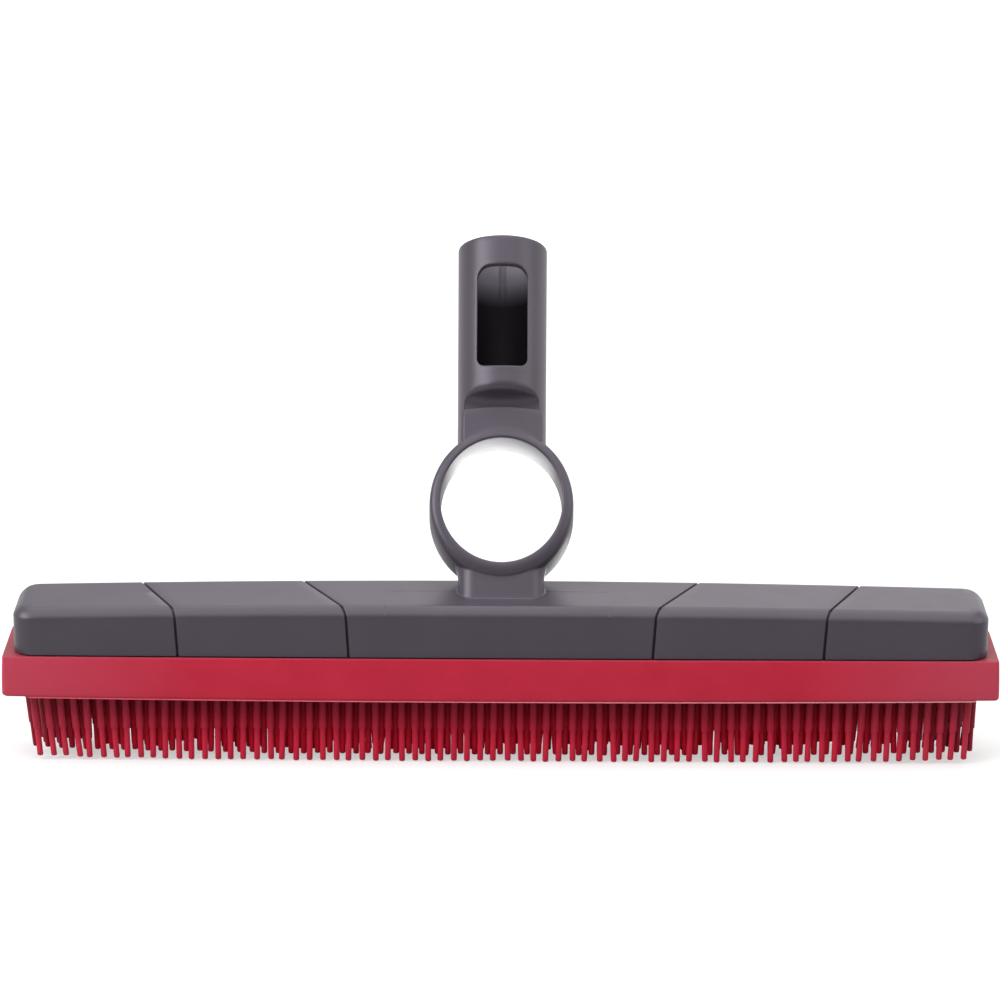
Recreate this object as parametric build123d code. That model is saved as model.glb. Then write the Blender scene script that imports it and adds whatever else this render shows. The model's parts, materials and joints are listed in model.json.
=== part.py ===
from build123d import *
import os
from math import copysign, cos, radians, sin, sqrt

# Rubber broom head, in millimetres: a grey plastic head moulding whose skirt snaps into a red
# rubber pad with rows of stepped rubber strands under it. It stands on the strand tips. Z is up,
# X runs along the block, and the handle socket leans back towards +Y. The origin is on the
# floor under the middle of the block.

# Strands
STRAND_LENGTH = 24.0  # from the pad's underside to the floor
STRAND_TIP_LENGTH = 11.3  # the thinner lower part
STRAND_ROOT_SIDE = 2.2  # square section of the upper part
STRAND_TIP_SIDE = 1.65  # square section of the lower part
STRAND_PITCH = 4.4  # along a row
ROWS_EACH_SIDE = 2  # of the middle row, each half a strand pitch out of step with the next
STRAND_EDGE = 0.5  # least backing left beside a strand at the end of its row
BACKING = 1.5  # slice of rubber that the strands of a row grow from
END_LEAN = 3.2  # how far the tip of the outermost strand leans inwards
END_LEAN_REACH = 58.0  # the lean dies away this far in from the end of a row

# Rubber pad
PAD_HEIGHT = 14.3
PAD_WALL = 3.5  # front and back walls
PAD_END_WALL = 7.0
PAD_LEDGE = 0.5  # how far the pad stands out past the block at the front and back
PAD_END_LEDGE = 3.75  # and at the ends
PAD_CORNER = 1.5  # corner radius seen from above
PAD_LIP = 1.0  # rounding along the lower edge
PAD_RIM = 0.4  # edge break along the upper edge
FIELD_END_MARGIN = 4.9  # pad underside left bare round the strand field
FIELD_SIDE_MARGIN = 5.25

# Block
BLOCK_LENGTH = 324.3
BLOCK_DEPTH = 34.0
BLOCK_HEIGHT = 17.7  # at the middle, above the pad
BLOCK_CROWN = 1.8  # how much lower the top is at the ends
BLOCK_CORNER = 5.0  # corner radius seen from above
BLOCK_EDGE = 3.0  # rounding along the top edge
TOP_WALL = 3.0
SKIRT_WALL = 2.8
SKIRT_DROP = 9.0  # how far the skirt goes down into the pad
BEAD_REACH = 1.0  # snap beads along the skirt
BEAD_HEIGHT = 2.4
BEAD_RISE = 1.2  # plain skirt left below a bead
BEAD_END = 6.0  # and beyond its ends
SNAP_GAP = 0.2  # between the skirt with its beads and the rubber
RIB = 2.0
RIB_SPACING = 44.0

# Grooves that divide the block into five segments, as distances from the middle
INNER_GROOVE_BACK = 66.6
INNER_GROOVE_FRONT = 52.2
OUTER_GROOVE_BACK = 121.0
OUTER_GROOVE_FRONT = 109.0
GROOVE_SLANT = 1.6  # how far a groove moves inwards on its way down the block
GROOVE_WIDTH = 1.1
GROOVE_DEPTH = 0.8

# Leaning neck, ring and socket, with heights measured up the lean from the top of the block
LEAN = 34.0  # degrees back from upright
NECK_BACK = 2.0  # foot of the neck behind the middle of the block
NECK_WIDTH = 28.8
NECK_DEPTH = 13.6
NECK_CORNER = 5.5
FOOT_FILLET = 0.8
RING_DEPTH = 16.0
HOLE_HEIGHT = 29.9  # middle of the ring's oval hole
HOLE_WIDTH = 41.0
HOLE_LENGTH = 43.7
HOLE_DRAFT = 0.6  # how much the hole draws in all round by its back
RING_SIDE_WALL = 3.4
RING_TOP_WALL = 3.55
RING_BOTTOM_WALL = 5.75
RING_EDGE = 1.0
WEB_DEPTH = 15.0  # flat neck between the ring and the socket
SCOOP_HEIGHT = 62.0  # lower end of the hollow where the socket narrows to the web
SCOOP_RADIUS = 12.5
SCOOP_ANGLE = 34.0  # degrees between the hollow and the web where they meet
SOCKET_TOP = 122.0
SOCKET_FOOT_RADIUS = 14.8
SOCKET_MOUTH_RADIUS = 15.2
SOCKET_RIM = 1.0  # edge break outside the mouth
BORE_RADIUS = 12.5
BORE_DEPTH = 50.0
WINDOW_WIDTH = 18.0
WINDOW_LENGTH = 36.0
WINDOW_DROP = 10.7  # from the mouth to the window
WINDOW_TOP_CORNER = 4.3
WINDOW_BOTTOM_CORNER = 2.4

# Levels and sizes that follow
PAD_BASE = STRAND_LENGTH
PAD_TOP = PAD_BASE + PAD_HEIGHT
BLOCK_TOP = PAD_TOP + BLOCK_HEIGHT
SKIRT_BASE = PAD_TOP - SKIRT_DROP
PAD_LENGTH = BLOCK_LENGTH + 2 * PAD_END_LEDGE
PAD_DEPTH = BLOCK_DEPTH + 2 * PAD_LEDGE
SKIRT_LENGTH = PAD_LENGTH - 2 * PAD_END_WALL
SKIRT_DEPTH = PAD_DEPTH - 2 * PAD_WALL
SKIRT_CORNER = BLOCK_CORNER - PAD_WALL + PAD_LEDGE
FIELD_LENGTH = PAD_LENGTH - 2 * FIELD_END_MARGIN
FIELD_DEPTH = PAD_DEPTH - 2 * FIELD_SIDE_MARGIN
STRANDS_EACH_SIDE = int((FIELD_LENGTH / 2 - STRAND_ROOT_SIDE / 2 - STRAND_EDGE) / STRAND_PITCH)
ROW_PITCH = FIELD_DEPTH / (2 * ROWS_EACH_SIDE + 1)
BORE_FLOOR = SOCKET_TOP - BORE_DEPTH
RING_WIDTH = HOLE_WIDTH + 2 * RING_SIDE_WALL
RING_LENGTH = HOLE_LENGTH + RING_TOP_WALL + RING_BOTTOM_WALL
RING_HEIGHT = HOLE_HEIGHT + (RING_TOP_WALL - RING_BOTTOM_WALL) / 2

# Leaning plane through the foot of the neck: its x is the block's, its y runs up the lean and
# its z faces the front
LEANING = Plane(
    origin=(0, NECK_BACK, BLOCK_TOP),
    x_dir=(1, 0, 0),
    z_dir=(0, -cos(radians(LEAN)), sin(radians(LEAN))),
)


def slab(plan, low, high):
    """A plan raised from one level to another."""
    return extrude(Pos(0, 0, low) * plan, amount=high - low)


def rim_edges(body, level):
    """Edges that lie flat at a level."""
    return body.edges().filter_by_position(Axis.Z, level, level)


def up_the_lean(height):
    """Place whose z runs up the lean, at a height on the neck's axis."""
    return LEANING * Pos(0, height, 0) * Rot(-90, 0, 0)


def block_form(inset):
    """The block before its top edge is rounded, drawn in by inset at its top and sides."""
    end, top = BLOCK_LENGTH / 2 - inset, BLOCK_TOP - inset
    crown = ThreePointArc((-end, top - BLOCK_CROWN), (0, top), (end, top - BLOCK_CROWN))
    below = Polyline(crown @ 1, (end, PAD_TOP), (-end, PAD_TOP), crown @ 0)
    profile = Plane.XZ * make_face([crown, below])
    body = extrude(profile, amount=BLOCK_DEPTH / 2 - inset, both=True)
    return fillet(body.edges().filter_by(Axis.Z), BLOCK_CORNER - inset)


def top_edges(body):
    """Edges round the top face."""
    return body.faces().sort_by(Axis.Z)[-1].edges()


def groove_plate(back, front, side):
    """Plate that marks one groove: aslant across the top and a little aslant down the front."""
    along = Vector(side * (back - front), BLOCK_DEPTH, 0)
    down = Vector(-side * GROOVE_SLANT, 0, -BLOCK_HEIGHT)
    corner = Vector(side * front, -BLOCK_DEPTH / 2, BLOCK_TOP)
    place = Plane(origin=corner, x_dir=along, z_dir=along.cross(down))
    return place * Box(4 * BLOCK_DEPTH, 4 * BLOCK_HEIGHT, GROOVE_WIDTH)


def groove_cuts(outside):
    """The four grooves, at about one depth over the block's rounded outside."""
    core = block_form(GROOVE_DEPTH)
    core = chamfer(top_edges(core), (BLOCK_EDGE - GROOVE_DEPTH) * (2 - sqrt(2)))
    pairs = [
        (INNER_GROOVE_BACK, INNER_GROOVE_FRONT),
        (OUTER_GROOVE_BACK, OUTER_GROOVE_FRONT),
    ]
    plates = [groove_plate(back, front, side) for back, front in pairs for side in (-1, 1)]
    return [plate & outside - core for plate in plates]


def oval(width, length, height, level):
    """Oval on the leaning plane, or parallel to it at a level towards the front."""
    return LEANING * Pos(0, height, level) * Ellipse(width / 2, length / 2)


def oval_bar(width, length, height, taper):
    """Oval bar right through the ring, drawn in all round by taper at its back."""
    front = oval(width, length, height, RING_DEPTH / 2)
    back = oval(width - 2 * taper, length - 2 * taper, height, -RING_DEPTH / 2)
    return loft([front, back])


def ring_hole(extra):
    """The ring's drafted hole, wider all round by extra."""
    return oval_bar(HOLE_WIDTH + 2 * extra, HOLE_LENGTH + 2 * extra, HOLE_HEIGHT, HOLE_DRAFT)


def ring():
    """Oval ring with its four edges broken."""
    body = oval_bar(RING_WIDTH, RING_LENGTH, RING_HEIGHT, 0) - ring_hole(0)
    return chamfer(body.edges().filter_by(GeomType.ELLIPSE), RING_EDGE)


def neck():
    """Rounded bar from half-way down the block to the ring."""
    root = BLOCK_HEIGHT / 2
    section = RectangleRounded(NECK_WIDTH, NECK_DEPTH, NECK_CORNER)
    return extrude(up_the_lean(-root) * section, amount=root + RING_HEIGHT)


def scoop(side):
    """Cut that takes the socket down to the flat web on one side, through a hollow curve."""
    reach = 2 * SOCKET_MOUTH_RADIUS
    flat = WEB_DEPTH / 2
    turn = radians(SCOOP_ANGLE)
    low, out = SCOOP_HEIGHT - SCOOP_RADIUS * sin(turn), flat + SCOOP_RADIUS * cos(turn)
    curve = Pos(0, low, side * out) * Rot(0, 90, 0) * Cylinder(SCOOP_RADIUS, 2 * reach)
    beside = Pos(0, 0, side * (flat + reach / 2))
    above = beside * Pos(0, SCOOP_HEIGHT + reach / 2, 0) * Box(2 * reach, reach, reach)
    below = beside * Pos(0, SCOOP_HEIGHT / 2, 0) * Box(2 * reach, SCOOP_HEIGHT, reach)
    return LEANING * ((curve & above) + below)


def socket():
    """Handle socket outside, narrowed to a flat web that runs down to the ring."""
    length = SOCKET_TOP - RING_HEIGHT
    body = up_the_lean(RING_HEIGHT) * Cone(
        SOCKET_FOOT_RADIUS,
        SOCKET_MOUTH_RADIUS,
        length,
        align=(Align.CENTER, Align.CENTER, Align.MIN),
    )
    mouth = body.edges().filter_by(GeomType.CIRCLE).sort_by(Axis.Z)[-1]
    return chamfer(mouth, SOCKET_RIM) - [scoop(1), scoop(-1)]


def window():
    """Latch window through the front wall of the socket, with larger corners at the top."""
    high = SOCKET_TOP - WINDOW_DROP
    middle = high - WINDOW_LENGTH / 2
    outline = Pos(0, middle) * Rectangle(WINDOW_WIDTH, WINDOW_LENGTH)
    corners = outline.vertices().sort_by(Axis.Y)
    outline = fillet(corners[2:], WINDOW_TOP_CORNER)
    corners = outline.vertices().sort_by(Axis.Y)
    outline = fillet(corners[:2], WINDOW_BOTTOM_CORNER)
    return extrude(LEANING * outline, amount=2 * SOCKET_MOUTH_RADIUS)


def bore():
    """Handle bore."""
    base = (Align.CENTER, Align.CENTER, Align.MIN)
    return up_the_lean(BORE_FLOOR) * Cylinder(BORE_RADIUS, BORE_DEPTH, align=base)


def bead(gap):
    """Snap beads along the skirt's front and back, or with a gap the grooves that take them."""
    length = SKIRT_LENGTH - 2 * BEAD_END + 2 * gap
    depth = SKIRT_DEPTH + 2 * (BEAD_REACH + gap)
    middle = SKIRT_BASE + BEAD_RISE + BEAD_HEIGHT / 2
    return Pos(0, 0, middle) * Box(length, depth, BEAD_HEIGHT + 2 * gap)


def skirt():
    """Skirt that goes down into the pad, with its snap beads."""
    plan = RectangleRounded(SKIRT_LENGTH, SKIRT_DEPTH, SKIRT_CORNER)
    return slab(plan, SKIRT_BASE, PAD_TOP + TOP_WALL) + bead(0)


def hollow():
    """Space inside the block and its skirt, with cross ribs left standing."""
    length, depth = SKIRT_LENGTH - 2 * SKIRT_WALL, SKIRT_DEPTH - 2 * SKIRT_WALL
    plan = RectangleRounded(length, depth, SKIRT_CORNER)
    space = slab(plan, SKIRT_BASE, BLOCK_TOP - BLOCK_CROWN - TOP_WALL)
    each_side = int((length - RIB) / 2 / RIB_SPACING)
    places = [Pos(i * RIB_SPACING, 0, PAD_TOP) for i in range(-each_side, each_side + 1)]
    return space - [place * Box(RIB, 2 * BLOCK_DEPTH, 4 * BLOCK_HEIGHT) for place in places]


def head():
    """The whole grey moulding."""
    outside = fillet(top_edges(block_form(0)), BLOCK_EDGE)
    stem = neck()
    body = outside + stem
    foot = new_edges(outside, stem, combined=body)
    body = fillet(foot, FOOT_FILLET)
    inside_ring = ring_hole(RING_SIDE_WALL / 2)
    body = body - inside_ring + (socket() - inside_ring) + ring() + skirt()
    return body - [bore(), window(), hollow()] - groove_cuts(outside)


def backing(depth):
    """Strip of rubber that strands grow from, standing on its underside."""
    return Box(FIELD_LENGTH, depth, BACKING, align=(Align.CENTER, Align.CENTER, Align.MIN))


def pad():
    """Rubber tray that the head's skirt snaps into, with a recess for the rows' backing."""
    body = slab(RectangleRounded(PAD_LENGTH, PAD_DEPTH, PAD_CORNER), PAD_BASE, PAD_TOP)
    body = fillet(rim_edges(body, PAD_BASE), PAD_LIP)
    body = chamfer(rim_edges(body, PAD_TOP), PAD_RIM)
    gap = 2 * SNAP_GAP
    plan = RectangleRounded(SKIRT_LENGTH + gap, SKIRT_DEPTH + gap, SKIRT_CORNER + SNAP_GAP)
    cavity = slab(plan, SKIRT_BASE - SNAP_GAP, PAD_TOP) + bead(SNAP_GAP)
    recess = Pos(0, 0, PAD_BASE) * backing(FIELD_DEPTH)
    return body - [cavity, recess]


def strand_slope(x):
    """Sideways run for each unit of drop: strands near the ends lean inwards."""
    end = STRANDS_EACH_SIDE * STRAND_PITCH
    share = max(0, 1 - (end - abs(x)) / END_LEAN_REACH)
    return -copysign(END_LEAN * share**2, x) / STRAND_LENGTH


def strand(x, y):
    """One stepped square strand, as its upper and lower lengths."""
    slope = strand_slope(x)
    drop = STRAND_LENGTH - STRAND_TIP_LENGTH
    top = Pos(x, y, PAD_BASE) * Rectangle(STRAND_ROOT_SIDE, STRAND_ROOT_SIDE)
    step = Pos(x + slope * drop, y, PAD_BASE - drop) * Rectangle(STRAND_TIP_SIDE, STRAND_TIP_SIDE)
    upper = Solid.extrude(top.face(), (slope * drop, 0, -drop))
    lower = Solid.extrude(step.face(), (slope * STRAND_TIP_LENGTH, 0, -STRAND_TIP_LENGTH))
    return [upper, lower]


def bristle_row(row):
    """One row of strands fused to its strip of backing; every other row is half a pitch over."""
    y = row * ROW_PITCH
    shift = row % 2 / 2
    steps = [i + shift for i in range(-STRANDS_EACH_SIDE, STRANDS_EACH_SIDE + 1)]
    places = [s * STRAND_PITCH for s in steps if s <= STRANDS_EACH_SIDE]
    strands = [piece for x in places for piece in strand(x, y)]
    return Pos(0, y, PAD_BASE) * backing(ROW_PITCH) + strands


nodes = {"head": head(), "rubber_pad": pad()}
for number, row in enumerate(range(-ROWS_EACH_SIDE, ROWS_EACH_SIDE + 1), start=1):
    nodes[f"bristle_row_{number}"] = bristle_row(row)

os.makedirs("parts", exist_ok=True)
for name, solid in nodes.items():
    export_step(solid, f"parts/{name}.step")
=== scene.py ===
import json
from collections import namedtuple
from math import acos, asin, ceil, cos, degrees, pi, radians, sin, sqrt, tan
from random import Random

import bmesh
import bpy
from mathutils import Euler, Matrix, Vector


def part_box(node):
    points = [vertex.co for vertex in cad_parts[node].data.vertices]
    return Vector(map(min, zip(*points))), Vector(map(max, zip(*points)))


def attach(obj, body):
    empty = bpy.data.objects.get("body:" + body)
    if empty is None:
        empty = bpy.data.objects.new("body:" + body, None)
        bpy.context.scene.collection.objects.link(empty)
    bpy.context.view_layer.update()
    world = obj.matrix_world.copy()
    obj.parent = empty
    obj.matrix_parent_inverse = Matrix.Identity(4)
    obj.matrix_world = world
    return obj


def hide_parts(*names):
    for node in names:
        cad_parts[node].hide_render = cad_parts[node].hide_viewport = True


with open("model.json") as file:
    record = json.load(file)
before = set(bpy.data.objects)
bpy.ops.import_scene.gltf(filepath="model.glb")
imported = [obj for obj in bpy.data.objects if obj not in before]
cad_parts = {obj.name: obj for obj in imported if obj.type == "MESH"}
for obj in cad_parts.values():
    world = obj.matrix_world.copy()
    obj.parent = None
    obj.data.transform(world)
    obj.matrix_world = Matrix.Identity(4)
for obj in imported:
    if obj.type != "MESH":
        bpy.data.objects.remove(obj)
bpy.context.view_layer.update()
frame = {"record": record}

# The looks of a rubber broom head. Lengths are in millimetres until a mesh is built, and in metres
# where that is said. X runs along the block, the handle socket leans back towards +Y, and Z is up
# from the floor. Colours are linear, and light of strength 1 is white.
MM = 0.001
WELD = 0.002  # points closer than this become one
CREASE = 50  # degrees up to which neighbouring faces are shaded as one surface
NEAR = 0.1  # margin for telling what a point lies on, also in degrees
WHITE = (1, 1, 1, 1)

# Oval seen from the front of the lean; middle is its height up the lean
Oval = namedtuple("Oval", "half_width half_length middle")

# Line down a wall: its x at the front and at the back of the block's top, how far it moves inwards
# on its way down, and how deep a groove is there
Column = namedtuple("Column", "front back slant cut")

# Levels and outlines that the frame gives
pad_low, pad_high = (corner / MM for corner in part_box("rubber_pad"))
head_low, head_high = (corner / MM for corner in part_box("head"))
mount = next(m for m in frame["record"]["mounts"] if m["name"] == "handle_socket")
PAD_BASE = pad_low.z
PAD_TOP = pad_high.z
PAD_HALF = pad_high.x
PAD_DEPTH = 2 * pad_high.y
BLOCK_HALF = head_high.x
BLOCK_DEPTH = -2 * head_low.y
BORE_RADIUS = mount["dims"]["r_mm"]
BORE_LENGTH = mount["dims"]["length_mm"]

# Block
BLOCK_HEIGHT = 17.7
BLOCK_TOP = PAD_TOP + BLOCK_HEIGHT
BLOCK_CROWN = 1.8  # how much lower the top is at the ends
BLOCK_CORNER = 7.0
BLOCK_EDGE = 3.2  # rounding along the top
EDGE_FLATNESS = 1.5  # 1 makes it a quarter circle, 2 a chamfer
BLOCK_BOW = 0.8  # how much the long sides draw in at the ends
BLOCK_GAP = 0.3  # dark line above the pad
BLOCK_BASE = PAD_TOP + BLOCK_GAP
BLOCK_FOOT = 0.35  # rounding along the lower edge
SKIRT_INSET = 2.5
SKIRT_DROP = 1.0  # how far the skirt goes down into the pad
COLUMN_STEP = 4.0
CORNER_STEPS = 7
END_STEPS = 6
EDGE_STEPS = 9
WALL_STEPS = 5

# Grooves, as distances of their front and back ends from the middle
GROOVES = ((51.35, 68.05), (108.0, 122.35))
GROOVE_SLANT = 1.1  # how far a groove moves inwards on its way down
GROOVE_DEPTH = 1.2
GROOVE_LIP = 0.72  # half the width that a groove takes
# Half of its section: distance from its middle and share of its depth
GROOVE_SECTION = ((0.0, 1.0), (0.26, 0.94), (0.36, 0.6), (0.44, 0.2), (0.5, 0.08), (0.58, 0.02))

# Leaning parts: s runs up the lean from the foot of the neck, n out of the front
SOCKET_TOP = 122.0
UP = Vector(mount["axis"])
OUT = Vector((0, -UP.z, UP.y))
FOOT = Vector(mount["pos_m"]) / MM - SOCKET_TOP * UP

# Neck
NECK_WIDTH = 28.8
NECK_DEPTH = 13.6
NECK_CORNER = 5.5
FOOT_FILLET = 0.8
FOOT_RUN = 0.6  # how far the fillet runs on outwards, under the block's top
FOOT_SINK = 0.4  # and how deep it ends there
NECK_FLARE = 0.9  # how much each side widens from FLARE_LOW to FLARE_HIGH, under the ring
FLARE_LOW, FLARE_HIGH = 3.0, 8.0

# Mould lines on the block
WITNESS_ENDS = (-38.4, 36.0)  # beside the neck
WITNESS_TURNS = (10, 75)  # degrees of the front rounding that they run over
WITNESS_HALF_WIDTH = 0.16
WITNESS_HEIGHT = 0.05

# Ring
RING_HALF_DEPTH = 8.0
RING_OUTSIDE = Oval(24.15, 26.5, 28.8)
RING_INSIDE = Oval(20.5, 21.85, 29.9)
RING_WALL = Oval(22.2, 24.2, 29.35)  # inside the wall, where the neck and the socket end
RING_DRAFT = 0.1  # how much narrower the hole is at the back
RING_FLARE = 0.25  # how much wider the outside is at the back
RING_FRONT_ROUND = 0.75  # of the wall's thickness
RING_BACK_ROUND = 0.05
RING_INNER_ROUND = 0.7
RING_STEPS = 112

# Soft run-outs of the ring's front on the neck and on the web
BLEND_UNDER_RING = 2.8  # how far they run out
BLEND_OVER_RING = 2.2
UNDER_START = 0.5  # where they begin, as a share of the ring's front rounding
OVER_START = 0.7
BLEND_HALF_WIDTH = 12.6
BLEND_MARGIN = 0.2  # keeps their ends from closing up
BLEND_DEPTH = 1.5
BLEND_STEPS = 28

# Handle socket
SOCKET_FOOT = RING_OUTSIDE.middle
SOCKET_FOOT_RADIUS = 14.8
SOCKET_WEB_RADIUS = 14.95  # where the web begins
SOCKET_MOUTH_RADIUS = 15.2
MOUTH_ROUND = 1.0
MOUTH_BREAK = 0.4  # edge break of the bore
KEYWAY_HALF_ANGLE = 5.5  # degrees round the bore
KEYWAY_WALL = 0.4  # degrees taken by its side walls
KEYWAY_FLOOR_ANGLE = 2.6  # of the columns between its middle and its side walls
KEYWAY_DEPTH = 1.5
KEYWAY_FOOT = 106.0
KEYWAY_STEP = 0.05  # half the height taken by the wall at its foot

# Web, and the hollow that the socket's face has above it
WEB_HALF_DEPTH = 7.5
WEB_LIP = 0.4  # how far the web stands out of the hollow's lower end
WEB_SOFT = 0.12  # rounding of the web's corners
WEB_ANGLE = degrees(acos(WEB_HALF_DEPTH / SOCKET_WEB_RADIUS))  # from the front, where its face ends
SCOOP_HEIGHT = 63.0
SCOOP_RISE = 4.2  # height of the hollow's oval section
SCOOP_ANGLE = radians(84)  # at which the hollow runs out on the web
SCOOP_LEAST = 0.001  # least depth, at the hollow's sides
SCOOP_ROUND = 2.8  # how far the rounding of its upper edge reaches
SCOOP_ROUND_SHARE = 0.55  # of the hollow's depth, at most
SCOOP_SQUARENESS = 8  # of the hollow's upper corners
SCOOP_LIFT = 0.45  # by which share the hollow is taller there
SCOOP_ARCH = 106.0  # the hollow's end drops by x * x / SCOOP_ARCH

# Latch window
WINDOW_HALF_WIDTH = 8.5
WINDOW_HALF_LENGTH = 18.0
WINDOW_DROP = 10.7  # from the mouth to the window
WINDOW_MIDDLE = SOCKET_TOP - WINDOW_DROP - WINDOW_HALF_LENGTH
WINDOW_TOP_CORNER = 4.3
WINDOW_BOTTOM_CORNER = 2.4
WINDOW_EDGE = 0.5
WINDOW_SAG = 0.7  # how much lower its lower edge is in the middle

# Patch of the socket that holds the window: its edge in degrees from the front, and its ends
FRAME_ANGLE = 54
FRAME_LOW, FRAME_HIGH = 73.0, 115.6
FRAME_ROWS = 24
BESIDE_ANGLE = 57  # one more column between the patch and the web

# Rubber pad
PAD_CORNER = 1.5
PAD_LIP = 1.2  # rounding along the lower edge
PAD_RIM = 0.4  # rounding along the upper edge
LIP_BORDER = 0.15  # flat strips beside these roundings
RIM_BORDER = 0.3
PAD_BOW = 1.0  # how much the long sides draw in at the ends
PAD_SAG = 0.7  # how much lower the lower edge is in the middle than at the ends
PAD_TILT = 0.1  # how much lower it hangs at the left end, and higher at the right
PAD_DRAFT = 0.35  # how much the wall draws in at its top
PAD_COLUMNS = 60

# Low rim round the strands, below the pad
FIELD_RIM = 0.4  # its height
FIELD_ROUND = 0.15  # share of the height that its edge break takes
FIELD_SINK = 0.2  # how far it goes up into the pad
FIELD_INSET = 0.5
FIELD_HALF = 158.5

# Strands
STRAND_SIDES = 10
STRAND_PITCH = 4.405
STRANDS = 72
STRAND_SINK = 1.0  # how far a strand goes up into the pad
ROOT_RADIUS = 1.3
TIP_RADIUS = 1.0
ROOT_FLARE = ((0.0, 0.3), (1.0, 0.25), (1.6, 0.05), (2.4, 0.0))  # way down and extra radius
STEP_LEVEL = 11.3  # height at which a strand gets thinner
STEP_SPREAD = 0.3  # by which that differs from strand to strand
# Share of the strand's length below the step, and radius there
STEP_FALL = ((0.002, ROOT_RADIUS - 0.04), (0.005, TIP_RADIUS + 0.03), (0.015, TIP_RADIUS))
TIP_ROUND = ((0.4, 1.0), (0.12, 0.9), (0.0, 0.65))  # way up from the end and share of the radius
LEFT_LEAN = 2.4  # how far the last strands' tips lean inwards
RIGHT_LEAN = 0.9
LEAN_REACH = 70.0  # how far from the ends strands lean
LEAN_FADE = 1.6  # how steeply the lean dies away
LEAN_SPREAD = 0.12  # by which it differs from strand to strand
TIP_RISE = 0.35  # most that a tip may stay off the floor
END_RISE = 1.3  # how much more at the ends
INNER_RISE = 0.6  # and in the rows between the first and the last
BEND = 0.3  # sideways spread of the tips in the front row
ROW_SHIFTS = (0, 0, 0.25, 0.25, 0)  # how far each row is moved to the right, in pitches
ROWS = len(ROW_SHIFTS)

# Grain and clouds of the materials
CLOUD_RANGE = (0.3, 0.7)  # noise values at which the darker and the lighter colour are reached
CLOUD_DETAIL = 4.0
GRAIN_DETAIL = 3.0
GRAIN_STRENGTH = 0.35
RUBBER_GRAIN = 0.3
RUBBER_GRAIN_DEPTH = 0.04
RUBBER_PATCH = 12
END_FADE = (100.0, 162.0)  # distances from the middle between which the red passes into END_RED
END_RED = (0.51, 0.046, 0.085)
INNER_END_SHADE = (130.0, 155.0)  # and between which painted shade darkens the inner rows
RIM_HIGHLIGHT_FADE = (-120.0, 140.0)  # x between which the painted highlight on the rim round the strands gets brighter
LEDGE_SHADE_FADE = 0.3  # height below the pad's top over which painted shade with a grey sheen makes it darker
ROOT_SHADE = (5.5, 26.0)  # heights between which painted shade darkens strands towards their roots under the pad
BORE_SHADE_TO_LIGHT = (105.5, 114.0)  # s between which the bore passes from painted shade to painted light towards the mouth

# Floor
FLOOR_HALF = 4000.0
FLOOR_LEVEL = -0.1  # just clear of the strand tips
FLOOR_GREY = 0.5
FLOOR_ROUGHNESS = 0.9

# What the floor adds for the camera: less near the head, where its shadow lies; in metres
WHITE_REACH = (0.25, 1.2)  # from the bright spot's middle
WHITE_LEVELS = (0.5, 1.0)

# Painted reflection: light that the floor sends to shiny surfaces alone, glowing brightest in a spot
# behind the block; in metres
MIRROR_START = (0.0, 0.09)  # y over which it sets in
MIRROR_GREY = 0.1  # the floor's own colour there
SHINE_REACH = (0.08, 0.2)  # from the spot's middle, over which the rest of the floor lights up
SHINE_LEVELS = (0.15, 0.95)
# painted reflection: strength of the glowing spot, many times white, though no lamp lights it
GLOW = 9.6
GLOW_PLACE = (0.006, 0.155, 0.0)
GLOW_REACH = 0.1
# Slanting edges of the spot: the way across, and where on it they start and end
LEFT_EDGE = ((0.853, 0.522, 0.0), 0.025, 0.05)
RIGHT_EDGE = ((-0.853, 0.522, 0.0), -0.03, 0.05)

# World that the object sees: for each axis of the direction, where a change starts and ends, and the
# level at both
WORLD_CHANGES = (
    ("Y", -0.3, 0.2, 0.3, 1.25),  # dim in front, bright behind
    ("Z", 0.45, 0.9, 1.0, 0.35),  # dimmer overhead
    ("X", -0.11, -0.01, 0.55, 1.0),  # dimmer on the left
)
WORLD_MATT = 0.4  # share of it that reaches matt surfaces

# Lamps: name, place, aim and size in metres, and power
LAMPS = (
    ("key", (-1.27, -0.58, 1.03), (0, 0, 0.06), (1.3, 0.9), 23),
    ("overhead", (0, 0.05, 1.62), (0, 0.05, 0), (2.0, 2.76), 38),
    ("right", (1.3, -0.4, 0.95), (0, 0, 0.06), (1.2, 1.0), 8),
)

# Camera, at the photograph's viewing angle
CAMERA_PLACE = (-0.5, -1377.1, 496.4)
CAMERA_PITCH = 16.5  # degrees below the horizon
CAMERA_ROLL = 0.3
CAMERA_LENS = 155.7
CAMERA_SENSOR = 36.0
CAMERA_REACH = 20.0  # in metres


# Mesh building

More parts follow.
